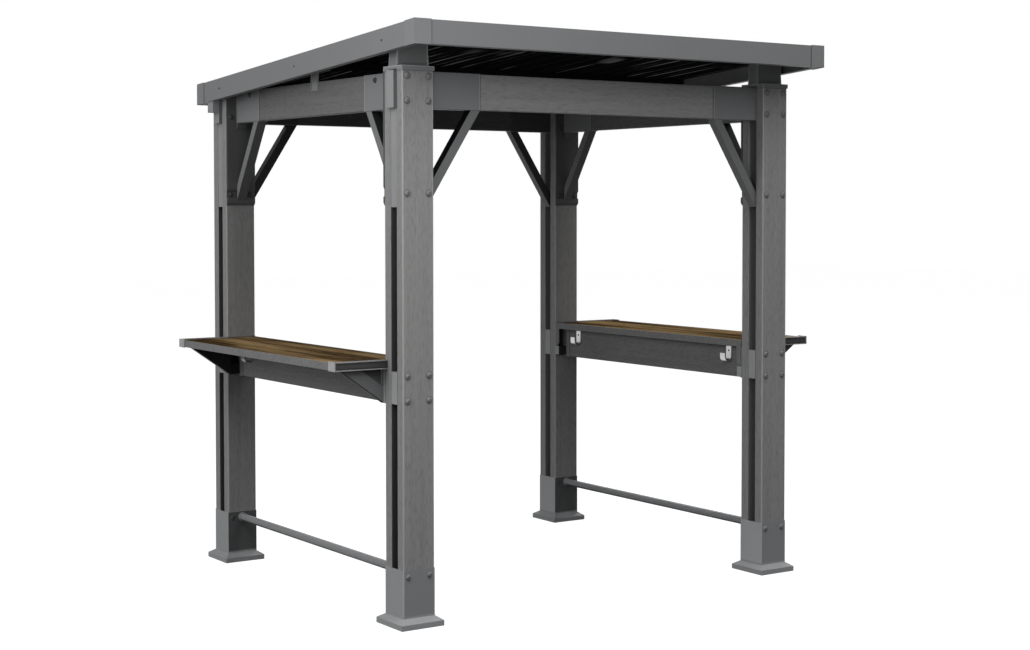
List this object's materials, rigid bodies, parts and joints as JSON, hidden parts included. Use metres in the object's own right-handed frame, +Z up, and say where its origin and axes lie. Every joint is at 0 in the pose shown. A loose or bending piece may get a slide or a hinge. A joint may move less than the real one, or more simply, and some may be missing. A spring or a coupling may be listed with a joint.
{
  "type": "grill gazebo",
  "caption": "Lean-to grill gazebo with double-board steel posts, braced beams, a ribbed roof and a serving counter with tool hooks and a footrest on each side.",
  "frame": {"origin": "on the ground, under the middle of the plan's bounding box", "axes": "+X to the right along the front, counter to counter; +Y from the high front edge of the roof to the low rear edge; +Z up"},
  "size_m": [2.396, 1.945, 2.2921],
  "materials": {
    "wood_grain_steel": "matt powder coat, grey, printed with a wood grain",
    "smooth_steel": "satin powder coat, smooth grey",
    "roof_steel": "satin powder coat, near black",
    "counter_frame": "grey powder coat with a fine mottle",
    "counter_planks": "oiled brown boards with dark streaks",
    "stainless_steel": "bright brushed",
    "bolt_steel": "grey coated bolt heads"
  },
  "bodies": {
    "root": {"post_front_left_outer_board": "wood_grain_steel", "post_front_left_inner_board": "wood_grain_steel", "post_front_right_outer_board": "wood_grain_steel", "post_front_right_inner_board": "wood_grain_steel", "post_rear_left_outer_board": "wood_grain_steel", "post_rear_left_inner_board": "wood_grain_steel", "post_rear_right_outer_board": "wood_grain_steel", "post_rear_right_inner_board": "wood_grain_steel", "boot_front_left": "smooth_steel", "boot_front_right": "smooth_steel", "boot_rear_left": "smooth_steel", "boot_rear_right": "smooth_steel", "post_caps": "smooth_steel", "post_risers": "smooth_steel", "upper_spacers": "smooth_steel", "counter_spacers": "smooth_steel", "beam_front": "wood_grain_steel", "beam_rear": "wood_grain_steel", "beam_left": "wood_grain_steel", "beam_right": "wood_grain_steel", "beam_sleeves_front": "smooth_steel", "beam_sleeves_rear": "smooth_steel", "beam_sleeves_left": "smooth_steel", "beam_sleeves_right": "smooth_steel", "beam_end_caps": "smooth_steel", "hanger_front_left": "smooth_steel", "hanger_front_right": "smooth_steel", "hanger_rear_left": "smooth_steel", "hanger_rear_right": "smooth_steel", "brace_front_left": "smooth_steel", "brace_front_right": "smooth_steel", "brace_rear_left": "smooth_steel", "brace_rear_right": "smooth_steel", "side_brace_front_left": "smooth_steel", "side_brace_front_right": "smooth_steel", "side_brace_rear_left": "smooth_steel", "side_brace_rear_right": "smooth_steel", "fascia_front": "smooth_steel", "fascia_rear": "smooth_steel", "fascia_left": "smooth_steel", "fascia_right": "smooth_steel", "roof_corner_covers": "smooth_steel", "roof_panels": "roof_steel", "purlins": "roof_steel", "roof_tie_straps": "smooth_steel", "roof_tie_blocks": "smooth_steel", "counter_planks_left": "counter_planks", "counter_planks_right": "counter_planks", "counter_frame_left": "counter_frame", "counter_frame_right": "counter_frame", "apron_left": "wood_grain_steel", "apron_right": "wood_grain_steel", "counter_brackets_left": "smooth_steel", "counter_brackets_right": "smooth_steel", "tool_hooks": "stainless_steel", "footrest_left": "smooth_steel", "footrest_right": "smooth_steel", "footrest_sockets": "smooth_steel", "bolts": "bolt_steel", "small_screws": "bolt_steel"}
  },
  "joints": []
}
